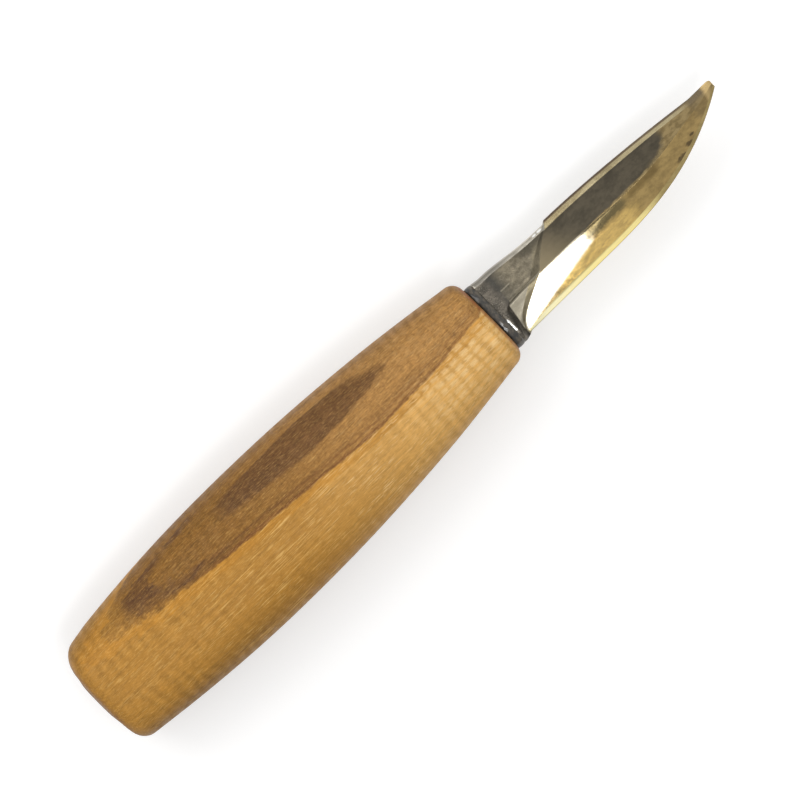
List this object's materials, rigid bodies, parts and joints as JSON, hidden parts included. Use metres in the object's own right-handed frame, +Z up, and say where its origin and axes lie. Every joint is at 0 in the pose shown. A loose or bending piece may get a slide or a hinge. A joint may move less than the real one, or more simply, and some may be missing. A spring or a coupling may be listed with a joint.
{
  "type": "whittling knife",
  "caption": "Forged whittling knife with a short straight-edged blade, thick neck and bolster, hidden tang set in epoxy, and a barrel-shaped wooden handle.",
  "frame": {"origin": "under the middle of the knife's length, level with the lowest point of the handle's belly as the knife lies on its side", "axes": "+X along the handle's axis from the butt to the blade's point, +Y from the cutting edge towards the spine, +Z up through the knife's thickness"},
  "size_m": [0.1934, 0.0338, 0.027],
  "materials": {
    "handle_wood": "oiled light hardwood with a darker heartwood side, satin",
    "blade_steel": "forged steel, dark on the flats and neck, polished on the bevels",
    "dark_epoxy": "cured black epoxy, glossy"
  },
  "bodies": {
    "root": {"handle": "handle_wood", "blade": "blade_steel", "tang_epoxy": "dark_epoxy"}
  },
  "joints": []
}
